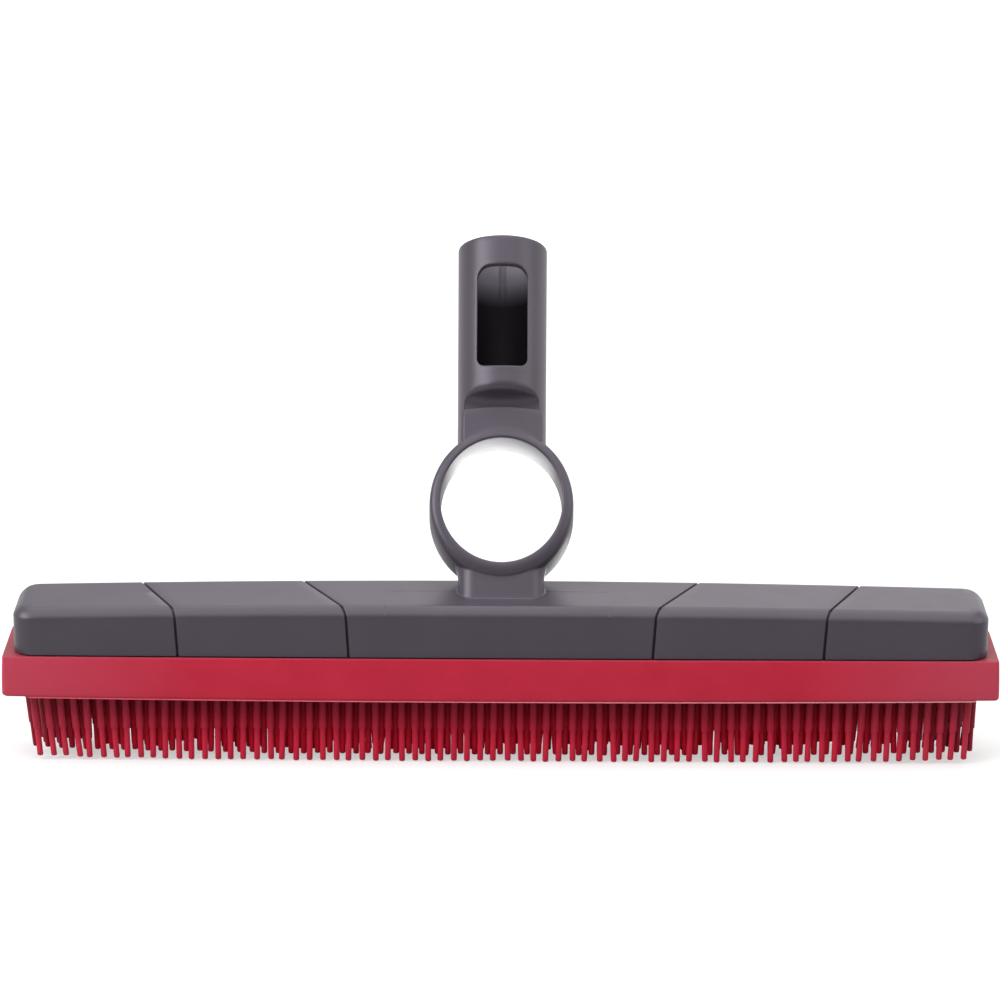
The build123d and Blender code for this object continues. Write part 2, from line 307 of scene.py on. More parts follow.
class Skin:
    """Grids of points, in millimetres, that weld into one mesh."""

    def __init__(self):
        self.mesh = bmesh.new()

    def add(self, points):
        return [self.mesh.verts.new(Vector(p) * MM) for p in points]

    def grid(self, rows, closed=False):
        """Faces between neighbouring rows; closed joins the ends of each row."""
        made = [self.add(row) for row in rows]
        for near, far in zip(made, made[1:]):
            for i in range(len(near) - (not closed)):
                j = (i + 1) % len(near)
                self.mesh.faces.new((near[i], near[j], far[j], far[i]))

    def cap(self, points):
        self.mesh.faces.new(self.add(points))

    def tube(self, rows):
        """Closed rows with a cap on both ends."""
        self.cap(rows[0])
        self.grid(rows, closed=True)
        self.cap(rows[-1])

    def build(self, name):
        """Weld, turn the faces outwards and shade them smooth up to the crease angle."""
        bmesh.ops.remove_doubles(self.mesh, verts=self.mesh.verts, dist=WELD * MM)
        bmesh.ops.recalc_face_normals(self.mesh, faces=self.mesh.faces)
        data = bpy.data.meshes.new(name)
        self.mesh.to_mesh(data)
        self.mesh.free()
        data.shade_smooth()
        data.set_sharp_from_angle(angle=radians(CREASE))
        return new_object(name, data)


def new_object(name, data):
    made = bpy.data.objects.new(name, data)
    bpy.context.scene.collection.objects.link(made)
    return made


def mix(a, b, share):
    return a + (b - a) * share


def spread(low, high, steps):
    """Evenly spaced values from low to high."""
    return [mix(low, high, i / steps) for i in range(steps + 1)]


def quarter_turn(steps):
    """Angles from 0 to a right angle."""
    return spread(0, pi / 2, steps)


def curve(first, corner, last, steps):
    """Points on a rounded corner from first to last."""
    return [(1 - t) ** 2 * first + 2 * t * (1 - t) * corner + t**2 * last for t in spread(0, 1, steps)]


def leaning(x, s, n):
    return FOOT + Vector((x, 0, 0)) + s * UP + n * OUT


# Ovals

def oval_low(oval, x):
    """Height of an oval's lower half at x."""
    return oval.middle - oval.half_length * sqrt(1 - (x / oval.half_width) ** 2)


def oval_high(oval, x):
    """Height of its upper half."""
    return oval.middle + oval.half_length * sqrt(1 - (x / oval.half_width) ** 2)


def on_oval(oval, turn):
    return Vector((oval.half_width * cos(turn), oval.half_length * sin(turn) + oval.middle))


# Plans and columns

def on_column(column, y, z):
    """Point of a column at a depth and a height."""
    across = y / BLOCK_DEPTH + 0.5
    drop = (BLOCK_TOP - z) / BLOCK_HEIGHT
    return (mix(column.front, column.back, across) - column.slant * drop, y, z)


class Plan:
    """Outline from above, with bowed long sides, rounded corners and columns along the sides."""

    def __init__(self, half, depth, bow, corner, columns):
        self.half, self.depth, self.bow, self.corner = half, depth, bow, corner
        self.columns = columns

    def reach(self, x):
        return self.depth / 2 - self.bow * (x / self.half) ** 2

    def side(self, facing, inset, height):
        """Points along the front (-1) or the back (1), from left to right."""
        points = []
        for column in self.columns:
            x = column.front if facing < 0 else column.back
            y = facing * (self.reach(x) - inset(column.cut))
            points.append(on_column(column, y, height(x, column.cut)))
        return points

    def end(self, facing, inset, height):
        """Points round one end from front to back, without those that belong to the sides."""
        x, radius = self.half - self.corner, self.corner - inset(0)
        y = self.reach(x) - self.corner
        turns = quarter_turn(CORNER_STEPS)[1:-1]
        front = [(x + radius * sin(t), -y - radius * cos(t)) for t in turns]
        flat = [(x + radius, level) for level in spread(-y, y, END_STEPS)]
        back = [(x + radius * cos(t), y + radius * sin(t)) for t in turns]
        return [(facing * px, py, height(px, 0)) for px, py in front + flat + back]

    def loop(self, inset, height):
        """Points once round; inset and height say how far in and how high each one is."""
        front, back = self.side(-1, inset, height), self.side(1, inset, height)
        right, left = self.end(1, inset, height), self.end(-1, inset, height)
        return front + right + back[::-1] + left[::-1]


def plain_columns(half):
    """Upright columns from one corner of the pad or of its rim to the other."""
    corner = half - PAD_CORNER
    return [Column(x, x, 0, 0) for x in spread(-corner, corner, PAD_COLUMNS)]


def groove_columns(front, back):
    """Columns close together across one groove."""
    section = [(-o, d) for o, d in GROOVE_SECTION[:0:-1]] + list(GROOVE_SECTION)
    return [Column(front + o, back + o, GROOVE_SLANT, d * GROOVE_DEPTH) for o, d in section]


def block_columns():
    """Columns from the left corner to the right one."""
    corner = BLOCK_HALF - BLOCK_CORNER
    stops = [Column(0, 0, 0, 0)]
    stops += [Column(front, back, GROOVE_SLANT, GROOVE_DEPTH) for front, back in GROOVES]
    stops.append(Column(corner, corner, 0, 0))
    half = []
    for near, far in zip(stops, stops[1:]):
        low = near.front + (GROOVE_LIP if near.cut else 0)
        high = far.front - (GROOVE_LIP if far.cut else 0)
        for front in spread(low, high, ceil((high - low) / COLUMN_STEP)):
            share = (front - near.front) / (far.front - near.front)
            back, slant = mix(near.back, far.back, share), mix(near.slant, far.slant, share)
            half.append(Column(front, back, slant, 0))
        if far.cut:
            half += groove_columns(far.front, far.back)
    mirrored = [Column(-c.front, -c.back, -c.slant, c.cut) for c in half[:0:-1]]
    return mirrored + half


# Block

def crown(x):
    return BLOCK_TOP - BLOCK_CROWN * (x / BLOCK_HALF) ** 2


def block_foot(plan):
    """Loops up the skirt and round the lower edge."""
    loops = [plan.loop(lambda cut: SKIRT_INSET, lambda x, cut: level)
             for level in (PAD_TOP - SKIRT_DROP, BLOCK_BASE)]
    for turn in quarter_turn(3):
        loops.append(plan.loop(lambda cut: cut + BLOCK_FOOT * (1 - sin(turn)),
                               lambda x, cut: BLOCK_BASE + BLOCK_FOOT * (1 - cos(turn))))
    return loops


def block_wall(plan):
    """Loops up the wall between its rounded edges."""
    low = BLOCK_BASE + BLOCK_FOOT
    return [plan.loop(lambda cut: cut, lambda x, cut: mix(low, crown(x) - BLOCK_EDGE, share))
            for share in spread(0, 1, WALL_STEPS)[1:-1]]


def block_edge(plan):
    """Loops over the rounding along the top."""
    loops = []
    for turn in quarter_turn(EDGE_STEPS):
        out, up = cos(turn) ** EDGE_FLATNESS, sin(turn) ** EDGE_FLATNESS
        loops.append(plan.loop(lambda cut: BLOCK_EDGE - (BLOCK_EDGE - cut) * out,
                               lambda x, cut: crown(x) - BLOCK_EDGE + (BLOCK_EDGE - cut) * up))
    return loops


def block_top(skin, plan):
    """Crowned top, as chords from front to back, and its two ends."""
    inset, height = (lambda cut: BLOCK_EDGE), (lambda x, cut: crown(x) - cut)
    fronts, backs = plan.side(-1, inset, height), plan.side(1, inset, height)
    steps = 2 * CORNER_STEPS + END_STEPS
    chords = []
    for column, front, back in zip(plan.columns, fronts, backs):
        chord = [front]
        for y in spread(front[1], back[1], steps)[1:-1]:
            x = on_column(column, y, BLOCK_TOP)[0]
            chord.append(on_column(column, y, crown(x) - column.cut))
        chords.append(chord + [back])
    skin.grid(chords)
    for facing, chord in ((-1, chords[0]), (1, chords[-1])):
        skin.grid([chord, [chord[0]] + plan.end(facing, inset, height) + [chord[-1]]])


def block(skin):
    """Crowned, bowed block with rounded edges and four grooves."""
    plan = Plan(BLOCK_HALF, BLOCK_DEPTH, BLOCK_BOW, BLOCK_CORNER, block_columns())
    loops = block_foot(plan) + block_wall(plan) + block_edge(plan)
    skin.cap(loops[0])
    skin.grid(loops, closed=True)
    block_top(skin, plan)


def witness_line(skin, points, away):
    """Fine raised mould line along points of a surface, with its outward directions."""
    rows = []
    for i, (point, out) in enumerate(zip(points, away)):
        ahead = (points[min(i + 1, len(points) - 1)] - points[max(i - 1, 0)]).normalized()
        side = ahead.cross(out) * WITNESS_HALF_WIDTH
        rise = WITNESS_HEIGHT * out
        rows.append([point + side - rise, point + rise, point - side - rise])
    skin.tube(rows)


def witness_lines(skin):
    """Mould lines on the block: beside the neck, and over the front rounding."""
    left, right = WITNESS_ENDS
    beside = NECK_WIDTH / 2 + FOOT_FILLET
    for start, end in ((left, -beside), (beside, right)):
        points = [Vector((x, FOOT.y, crown(x))) for x in spread(start, end, 8)]
        witness_line(skin, points, [Vector((0, 0, 1))] * len(points))
    turns = spread(*(radians(turn) for turn in WITNESS_TURNS), 6)
    away = [Vector((0, -sin(t), cos(t))) for t in turns]
    over = [Vector((0, -(sin(t) ** EDGE_FLATNESS), cos(t) ** EDGE_FLATNESS)) for t in turns]
    for x in WITNESS_ENDS:
        middle = Vector((x, BLOCK_EDGE - BLOCK_DEPTH / 2, crown(x) - BLOCK_EDGE))
        witness_line(skin, [middle + BLOCK_EDGE * way for way in over], away)


# Rubber pad

def pad_floor(x):
    return PAD_BASE - PAD_SAG * (0.5 - (x / PAD_HALF) ** 2) + PAD_TILT * x / PAD_HALF


def pad_lip(plan):
    """Loops round the lower edge."""
    loops = [plan.loop(lambda cut: PAD_LIP + LIP_BORDER, lambda x, cut: pad_floor(x))]
    for turn in quarter_turn(6):
        loops.append(plan.loop(lambda cut: PAD_LIP * (1 - sin(turn)),
                               lambda x, cut: pad_floor(x) + PAD_LIP * (1 - cos(turn))))
    return loops


def pad_wall(plan):
    """Loops up the wall, which draws in towards its top."""
    return [plan.loop(lambda cut: PAD_DRAFT * share**2,
                      lambda x, cut: mix(pad_floor(x) + PAD_LIP, PAD_TOP - PAD_RIM, share))
            for share in spread(0, 1, WALL_STEPS)[1:-1]]


def pad_rim(plan):
    """Loops over the upper edge."""
    loops = []
    for turn in quarter_turn(4):
        loops.append(plan.loop(lambda cut: PAD_DRAFT + PAD_RIM * (1 - cos(turn)),
                               lambda x, cut: PAD_TOP - PAD_RIM * (1 - sin(turn))))
    loops.append(plan.loop(lambda cut: PAD_DRAFT + PAD_RIM + RIM_BORDER, lambda x, cut: PAD_TOP))
    return loops


def field_rim(skin):
    """Low rim round the strands, under the pad's rounded lower edge."""
    depth = PAD_DEPTH + PAD_BOW - 2 * FIELD_INSET
    plan = Plan(FIELD_HALF, depth, PAD_BOW, PAD_CORNER, plain_columns(FIELD_HALF))
    edge = FIELD_ROUND * FIELD_RIM
    steps = ((0, -FIELD_SINK), (0, 0), (0, FIELD_RIM - edge), (edge, FIELD_RIM))
    skin.tube([plan.loop(lambda cut: inset, lambda x, cut: pad_floor(x) - down) for inset, down in steps])


def on_rim(point):
    """Whether a point of the mesh is on the rim round the strands."""
    return point.z / MM < pad_floor(point.x / MM) - NEAR


def rubber_pad():
    """Rounded pad with the rim round the strands."""
    skin = Skin()
    plan = Plan(PAD_HALF, PAD_DEPTH + PAD_BOW, PAD_BOW, PAD_CORNER, plain_columns(PAD_HALF))
    skin.tube(pad_lip(plan) + pad_wall(plan) + pad_rim(plan))
    field_rim(skin)
    return skin.build("pad_rubber")


# Neck

def rounded_section(width, depth, corner):
    """Points and outward directions round a rounded rectangle."""
    middle = (width / 2 - corner, depth / 2 - corner)
    points = []
    for quarter, side in enumerate(((1, 1), (-1, 1), (-1, -1), (1, -1))):
        for turn in spread(90 * quarter, 90 * quarter + 90, 8):
            way = (cos(radians(turn)), sin(radians(turn)))
            points.append((side[0] * middle[0] + corner * way[0],
                           side[1] * middle[1] + corner * way[1], way))
    return points


def flared(x, s):
    """Sideways place on the neck, which widens a little towards the ring."""
    share = max(0, (s - FLARE_LOW) / (FLARE_HIGH - FLARE_LOW))
    return x + 2 * x / NECK_WIDTH * NECK_FLARE * share**2


def neck_column(x, n, way):
    """Points up the neck's side, from under the block's top into the ring's wall."""
    start = leaning(x, 0, n)
    foot = start + UP * ((crown(x) - start.z) / UP.z)
    away = Vector((way[0], -way[1] * UP.z, 0)).normalized()
    reach = min(FOOT_FILLET / tan(UP.angle(away) / 2), FOOT_FILLET)
    column = [foot + away * (reach + FOOT_RUN) - Vector((0, 0, FOOT_SINK))]
    column += curve(foot + away * reach, foot, foot + UP * reach, 7)
    low, high = (column[-1] - FOOT).dot(UP), oval_low(RING_WALL, x)
    return column + [leaning(flared(x, s), s, n) for s in spread(low, high, 9)[1:]]


def neck(skin):
    """Rounded bar from the block's top into the ring's wall, filleted at its foot."""
    section = rounded_section(NECK_WIDTH, NECK_DEPTH, NECK_CORNER)
    rows = list(zip(*(neck_column(x, n, way) for x, n, way in section)))
    skin.cap(rows[0])
    skin.grid(rows, closed=True)
    half = len(section) // 2
    skin.grid([rows[-1][:half], rows[-1][:half - 1:-1]])


def neck_face(x):
    """How far the neck's front stands out at x."""
    over = max(0, abs(x) - NECK_WIDTH / 2 + NECK_CORNER)
    return NECK_DEPTH / 2 - NECK_CORNER + sqrt(NECK_CORNER**2 - over**2)


# Ring

def rounded_corners(corners, rounds, steps):
    """Points round a polygon whose corners are rounded."""
    points = []
    for i, corner in enumerate(corners):
        here = Vector(corner)
        before = (Vector(corners[i - 1]) - here).normalized()
        after = (Vector(corners[(i + 1) % len(corners)]) - here).normalized()
        points += curve(here + rounds[i] * before, here, here + rounds[i] * after, steps)
    return points


def ring(skin):
    """Oval ring: a rounded section carried round between two ovals."""
    deep = RING_HALF_DEPTH
    rows = []
    for turn in spread(0, 2 * pi, RING_STEPS)[:-1]:
        outer, inner = on_oval(RING_OUTSIDE, turn), on_oval(RING_INSIDE, turn)
        wall = (outer - inner).length
        way = (outer - inner).normalized()
        corners = [(wall, deep), (0, deep), (-RING_DRAFT, -deep), (wall + RING_FLARE, -deep)]
        rounds = (RING_FRONT_ROUND * wall, RING_INNER_ROUND, RING_INNER_ROUND, RING_BACK_ROUND * wall)
        section = rounded_corners(corners, rounds, 6)
        rows.append([leaning(*(inner + way * q), n) for q, n in section])
    rows.append(rows[0])
    skin.grid(rows, closed=True)


def blend(skin, face, toward, run, start):
    """Soft run-out of the ring's front rounding on the face below (-1) or above (1) it."""
    height = oval_low if toward < 0 else oval_high
    slope = (1 - start) / start
    rows = []
    for x in spread(-BLEND_HALF_WIDTH, BLEND_HALF_WIDTH, BLEND_STEPS):
        edge = height(RING_OUTSIDE, x)
        reach = RING_FRONT_ROUND * abs(edge - height(RING_INSIDE, x))
        fade = sqrt(1 - (x / (BLEND_HALF_WIDTH + BLEND_MARGIN)) ** 2)
        first = Vector((edge - toward * reach * start**2, RING_HALF_DEPTH - reach * (1 - start) ** 2))
        corner = Vector((first.x + toward * (first.y - face(x)) / slope, face(x)))
        last = corner + Vector((toward * run * fade, 0))
        row = curve(first, corner, last, 8) + [p - Vector((0, BLEND_DEPTH)) for p in (last, first)]
        rows.append([leaning(x, s, n) for s, n in row])
    skin.tube(rows)


def ring_blends(skin):
    blend(skin, neck_face, -1, BLEND_UNDER_RING, UNDER_START)
    blend(skin, lambda x: WEB_HALF_DEPTH, 1, BLEND_OVER_RING, OVER_START)


# Socket's columns, in degrees from the front: as the keyway opposite needs them, then evenly up to the
# edge of the patch that holds the window
KEYWAY_ANGLES = [0, KEYWAY_FLOOR_ANGLE, KEYWAY_HALF_ANGLE, KEYWAY_HALF_ANGLE + KEYWAY_WALL]
FRONT_ANGLES = KEYWAY_ANGLES + spread(10, 50, 8) + [FRAME_ANGLE]
FRAME_COLUMNS = 2 * (len(FRONT_ANGLES) - 1)


def socket_radius(s):
    return mix(SOCKET_FOOT_RADIUS, SOCKET_MOUTH_RADIUS, (s - SOCKET_FOOT) / (SOCKET_TOP - SOCKET_FOOT))


def round_point(angle, s, radius):
    turn = radians(angle)
    return leaning(radius * sin(turn), s, radius * cos(turn))


def socket_angles():
    """Angles once round, from the left edge of the window's patch."""
    quarter = FRONT_ANGLES + [BESIDE_ANGLE] + spread(WEB_ANGLE, 90, 5)
    half = quarter + [180 - a for a in quarter[-2::-1]]
    whole = half + [360 - a for a in half[-2:0:-1]]
    start = whole.index(360 - FRAME_ANGLE)
    return whole[start:] + whole[:start]


# Latch window

def window_side(facing, near, far, steps):
    """Points along one side of the window, from the middle of one rounded corner to the next."""
    (near_middle, near_round), (far_middle, far_round) = near, far
    along = Vector((-sin(facing), cos(facing)))
    away = Vector((cos(facing), sin(facing)))
    first, last = near_round * pi / 4, far_round * pi / 4
    straight = (far_middle - near_middle).dot(along)
    points = []
    for run in spread(0, first + straight + last, steps)[:-1]:
        if run < first:
            turn = (run - first) / near_round
            points.append(near_middle + near_round * (away * cos(turn) + along * sin(turn)))
        elif run < first + straight:
            points.append(near_middle + near_round * away + (run - first) * along)
        else:
            turn = (run - first - straight) / far_round
            points.append(far_middle + far_round * (away * cos(turn) + along * sin(turn)))
    return points


def sagged(point):
    """Point (x, s) of the window's outline, whose lower edge bows downwards."""
    x, s = point
    low = max(0, (WINDOW_MIDDLE - s) / WINDOW_HALF_LENGTH)
    return Vector((x, s + WINDOW_SAG * low**2 * ((x / WINDOW_HALF_WIDTH) ** 2 - 0.5)))


def window_outline(extra):
    """Points (x, s) round the window, grown by extra, from its lower left corner."""
    low, high = WINDOW_BOTTOM_CORNER, WINDOW_TOP_CORNER
    middles = []
    for side, end, corner in ((-1, -1, low), (1, -1, low), (1, 1, high), (-1, 1, high)):
        middle = Vector((side * (WINDOW_HALF_WIDTH - corner),
                         WINDOW_MIDDLE + end * (WINDOW_HALF_LENGTH - corner)))
        middles.append((middle, corner + extra))
    points = []
    for i, steps in enumerate((FRAME_COLUMNS, FRAME_ROWS) * 2):
        facing = radians(90 * (i - 1))
        points += window_side(facing, middles[i], middles[(i + 1) % 4], steps)
    return [sagged(p) for p in points]


def window_loop(radius, extra, lift):
    """Loop round the window, grown by extra and lifted off a round wall."""
    return [leaning(x, s, sqrt(radius(s) ** 2 - x * x) + lift) for x, s in window_outline(extra)]


def frame_outline():
    """Points (angle, s) round the patch that holds the window, from its lower left corner."""
    across = [-a for a in FRONT_ANGLES[:0:-1]] + FRONT_ANGLES
    up = spread(FRAME_LOW, FRAME_HIGH, FRAME_ROWS)
    points = [(a, FRAME_LOW) for a in across[:-1]] + [(FRAME_ANGLE, s) for s in up[:-1]]
    points += [(a, FRAME_HIGH) for a in across[:0:-1]] + [(-FRAME_ANGLE, s) for s in up[:0:-1]]
    return points


def window_frame(radius, extra, steps):
    """Loops on a round wall, from the patch's edge to the window's outline."""
    frame_points, window_points = frame_outline(), window_outline(extra)
    loops = []
    for share in spread(0, 1, steps):
        loop = []
        for (angle, s), (x, level) in zip(frame_points, window_points):
            height = mix(s, level, share)
            target = degrees(asin(x / radius(height)))
            loop.append(round_point(mix(angle, target, share), height, radius(height)))
        loops.append(loop)
    return loops


def window(skin):
    """Patch round the window outside, the window's edges and walls, and the patch inside."""
    outer, inner = WINDOW_EDGE, WINDOW_EDGE / 2

    def bore(s):
        return BORE_RADIUS

    loops = window_frame(socket_radius, outer, 6)
    for turn in quarter_turn(4)[1:]:
        loops.append(window_loop(socket_radius, outer * (1 - sin(turn)), -outer * (1 - cos(turn))))
    for turn in quarter_turn(3)[:-1]:
        loops.append(window_loop(bore, inner * (1 - cos(turn)), inner * (1 - sin(turn))))
    loops += window_frame(bore, inner, 4)[::-1]
    skin.grid(loops, closed=True)


# Handle socket

def bore_radius(angle, s):
    """Radius of the bore, with a keyway down its back from the mouth."""
    if abs(angle - 180) < KEYWAY_HALF_ANGLE + NEAR and s > KEYWAY_FOOT:
        return BORE_RADIUS + KEYWAY_DEPTH
    return BORE_RADIUS


def bore_row(number, angles):
    """One row beside the window; the two rows nearest the keyway's foot close up on it."""
    rows = spread(FRAME_LOW, FRAME_HIGH, FRAME_ROWS)
    level = rows[number]
    below = max(i for i, s in enumerate(rows) if s < KEYWAY_FOOT)
    closed_up = {below: KEYWAY_FOOT - KEYWAY_STEP, below + 1: KEYWAY_FOOT + KEYWAY_STEP}
    return [(a, closed_up.get(number, level) if abs(a - 180) < 90 else level) for a in angles]


def socket_sides(skin, angles):
    """Outside and bore beside the window's patch."""
    beside = angles[FRAME_COLUMNS:] + angles[:1]
    skin.grid([[round_point(a, s, socket_radius(s)) for a in beside]
               for s in spread(FRAME_LOW, FRAME_HIGH, FRAME_ROWS)])
    skin.grid([[round_point(a, s, bore_radius(a, s)) for a, s in bore_row(i, beside)]
               for i in range(FRAME_ROWS + 1)])


def socket_mouth(skin, angles):
    """Outside above the window's patch, the rounded mouth, and the bore down to the patch."""
    rim = SOCKET_TOP - MOUTH_ROUND
    rows = [[round_point(a, s, socket_radius(s)) for a in angles] for s in spread(FRAME_HIGH, rim, 4)]
    for turn in quarter_turn(5)[1:]:
        radius = SOCKET_MOUTH_RADIUS - MOUTH_ROUND * (1 - cos(turn))
        rows.append([round_point(a, rim + MOUTH_ROUND * sin(turn), radius) for a in angles])
    for turn in quarter_turn(3):
        out, level = MOUTH_BREAK * (1 - sin(turn)), SOCKET_TOP - MOUTH_BREAK * (1 - cos(turn))
        rows.append([round_point(a, level, bore_radius(a, level) + out) for a in angles])
    rows.append([round_point(a, FRAME_HIGH, bore_radius(a, FRAME_HIGH)) for a in angles])
    skin.grid(rows, closed=True)


def bore_floor(skin, angles):
    """Bore below the window's patch, and its floor."""
    rows = [[round_point(a, s, BORE_RADIUS) for a in angles]
            for s in (FRAME_LOW, SOCKET_TOP - BORE_LENGTH)]
    skin.grid(rows, closed=True)
    skin.cap(rows[-1])


def scoop_hollow(aside, end, wall, web):
    """Oval arc (s, n) from the socket's wall in to the web, with a rounded upper edge."""
    rise = SCOOP_RISE * (1 + SCOOP_LIFT * aside**2) * sqrt(1 - aside**SCOOP_SQUARENESS)
    deep = max(wall - web, SCOOP_LEAST) / sin(SCOOP_ANGLE)
    reach = min(SCOOP_ROUND, SCOOP_ROUND_SHARE * deep)
    middle = Vector((end - rise * cos(SCOOP_ANGLE), wall))

    def on_arc(turn):
        return middle + Vector((rise * cos(turn), -deep * sin(turn)))

    edge = curve(on_arc(0) + Vector((reach, 0)), on_arc(0), on_arc(reach / deep), 6)
    return edge + [on_arc(t) for t in spread(reach / deep, SCOOP_ANGLE, 10)[1:]]


def scoop_steps(angle):
    """Points (s, n) down the socket's face at an angle, through the hollow and on to the web."""
    radius = socket_radius(SCOOP_HEIGHT)
    turn = radians(min(angle, WEB_ANGLE))
    aside = turn / radians(WEB_ANGLE)
    wall, web = radius * cos(turn), radius * cos(radians(WEB_ANGLE))
    lip = WEB_LIP * (1 - aside**2)
    end = SCOOP_HEIGHT - (radius * sin(turn)) ** 2 / SCOOP_ARCH
    hollow = scoop_hollow(aside, end, wall, web - lip)
    above = [Vector((s, wall)) for s in spread(FRAME_LOW, hollow[0].x, 4)[:-1]]
    hub = Vector((end - lip, web - lip))
    below = [hub + lip * Vector((cos(t), sin(t))) for t in quarter_turn(3)[1:]]
    return above + hollow + below


def lower_column(angle):
    """Points down the socket's outside from below the window into the ring's wall."""
    off = min(angle % 360, 360 - angle % 360)
    facing = 1 if off < 90 else -1
    off = min(off, 180 - off)
    sideways = sin(radians(angle))
    points = []
    for s, n in scoop_steps(off):
        radius = socket_radius(s)
        if off > WEB_ANGLE:
            n = radius * cos(radians(off))
        points.append((radius * sideways, s, facing * n))
    x, s, n = points[-1]
    soft = 1 - WEB_SOFT / SOCKET_FOOT_RADIUS if abs(off - WEB_ANGLE) < NEAR else 1
    x, n = x * soft, n * soft
    points += [(x, level, n) for level in spread(s, oval_high(RING_WALL, x), 6)[1:]]
    return [leaning(*p) for p in points]


def socket(skin):
    """Handle socket with its bore, window, hollowed faces and web."""
    angles = socket_angles()
    window(skin)
    socket_sides(skin, angles)
    socket_mouth(skin, angles)
    bore_floor(skin, angles)
    rows = list(zip(*[lower_column(a) for a in angles]))
    skin.grid(rows, closed=True)
    front = [p for a, p in zip(angles, rows[-1]) if a <= 90 or a >= 270]
    back = [p for a, p in zip(angles, rows[-1]) if 90 <= a <= 270]
    skin.grid([sorted(side, key=lambda p: p.x) for side in (front, back)])


def in_bore(point):
    """Whether a point of the mesh is on the wall or the floor of the bore."""
    offset = point / MM - FOOT
    out = Vector((offset.x, offset.dot(OUT))).length
    return out < BORE_RADIUS + KEYWAY_DEPTH + NEAR and offset.dot(UP) > SOCKET_TOP - BORE_LENGTH - NEAR


def head_moulding():
    skin = Skin()
    block(skin)
    witness_lines(skin)
    neck(skin)
    ring(skin)
    ring_blends(skin)
    socket(skin)
    return skin.build("head_moulding")


# Strands

def lean_at(x, end):
    """Sideways run of a strand's tip: strands near the ends lean inwards."""
    share = max(0, 1 - (end - abs(x)) / LEAN_REACH)
    return LEFT_LEAN * share**LEAN_FADE if x < 0 else -RIGHT_LEAN * share**LEAN_FADE


def strand_profile(drop, step):
    """Shares of a strand's length and radii there, from its root past the step to its tip."""
    root = [(way / drop, ROOT_RADIUS + extra) for way, extra in ROOT_FLARE]
    fall = [(step + share, radius) for share, radius in STEP_FALL]
    tip = [(1 - way / drop, TIP_RADIUS * share) for way, share in TIP_ROUND]
    upper = [(share, ROOT_RADIUS) for share in spread(root[-1][0], step, 4)[1:]]
    lower = [(share, TIP_RADIUS) for share in spread(fall[-1][0], tip[0][0], 4)[1:-1]]
    return root + upper + fall + lower + tip


def strand(skin, x, y, end, rise, loose, chance):
    """One round stepped strand with a blunt tip."""
    top = PAD_BASE + STRAND_SINK
    rise += chance.uniform(0, TIP_RISE)
    drop = top - rise
    lean = lean_at(x, end) + chance.gauss(0, LEAN_SPREAD)
    bend_x, bend_y = chance.gauss(0, loose), chance.gauss(0, loose / 2)
    step = (top - STEP_LEVEL - chance.uniform(-STEP_SPREAD, STEP_SPREAD)) / drop
    turns = [2 * pi * k / STRAND_SIDES for k in range(STRAND_SIDES)]
    rows = []
    for share, radius in strand_profile(drop, step):
        across, back = x + lean * share + bend_x * share**2, y + bend_y * share**2
        height = top - drop * share
        rows.append([(across + radius * cos(t), back + radius * sin(t), height) for t in turns])
    skin.tube(rows)


def strand_row(number, y):
    """One row; every other row has one more strand, half a pitch out of step."""
    chance = Random(number)
    count = STRANDS + (number + 1) % 2
    end = (count - 1) / 2 * STRAND_PITCH
    inner = INNER_RISE if 1 < number < ROWS else 0
    skin = Skin()
    for i in range(count):
        x = -end + (i + ROW_SHIFTS[number - 1]) * STRAND_PITCH
        rise = END_RISE * (x / end) ** 4 + inner * (1 + (x / end) ** 2)
        strand(skin, x, y, end, rise, BEND * sqrt(number), chance)
    return skin.build(f"strands_{number}")


# Shader nodes

def add_node(tree, kind, inputs, **settings):
    """A node with its settings, and its inputs set or linked, by name or by number."""
    made = tree.nodes.new(kind)
    for key, value in settings.items():
        setattr(made, key, value)
    for name, value in inputs.items():
        if isinstance(value, bpy.types.NodeSocket):
            tree.links.new(value, made.inputs[name])
        else:
            made.inputs[name].default_value = value
    return made


def object_point(tree):
    return add_node(tree, "ShaderNodeTexCoord", {}).outputs["Object"]


def axis_value(tree, point, axis):
    return add_node(tree, "ShaderNodeSeparateXYZ", {"Vector": point}).outputs[axis]


def vector_value(tree, operation, first, second):
    inputs = {0: first, 1: second}
    return add_node(tree, "ShaderNodeVectorMath", inputs, operation=operation).outputs["Value"]


def combined(tree, operation, first, second):
    inputs = {0: first, 1: second}
    return add_node(tree, "ShaderNodeMath", inputs, operation=operation).outputs["Value"]


def graded(tree, value, start, end, low=0.0, high=1.0, kind="LINEAR"):
    """Level that goes from low to high while a value goes from start to end."""
    inputs = {"Value": value, "From Min": start, "From Max": end, "To Min": low, "To Max": high}
    return add_node(tree, "ShaderNodeMapRange", inputs, interpolation_type=kind).outputs["Result"]


def noise(tree, point, size, detail):
    """Noise whose features are about size millimetres across."""
    inputs = {"Vector": point, "Scale": 1 / (size * MM), "Detail": detail}
    return add_node(tree, "ShaderNodeTexNoise", inputs).outputs["Fac"]


def clouds(tree, value, dark, light):
    """Two colours blended by a noise value."""
    made = add_node(tree, "ShaderNodeValToRGB", {"Fac": value})
    for stop, position, colour in zip(made.color_ramp.elements, CLOUD_RANGE, (dark, light)):
        stop.position = position
        stop.color = (*colour, 1)
    return made.outputs["Color"]


def blended(tree, share, first, second):
    inputs = {"Factor": share, "A": first, "B": second}
    return add_node(tree, "ShaderNodeMix", inputs, data_type="RGBA").outputs["Result"]


# Materials

def new_material(name):
    made = bpy.data.materials.new(name)
    made.use_nodes = True
    tree = made.node_tree
    return made, tree, tree.nodes["Principled BSDF"]


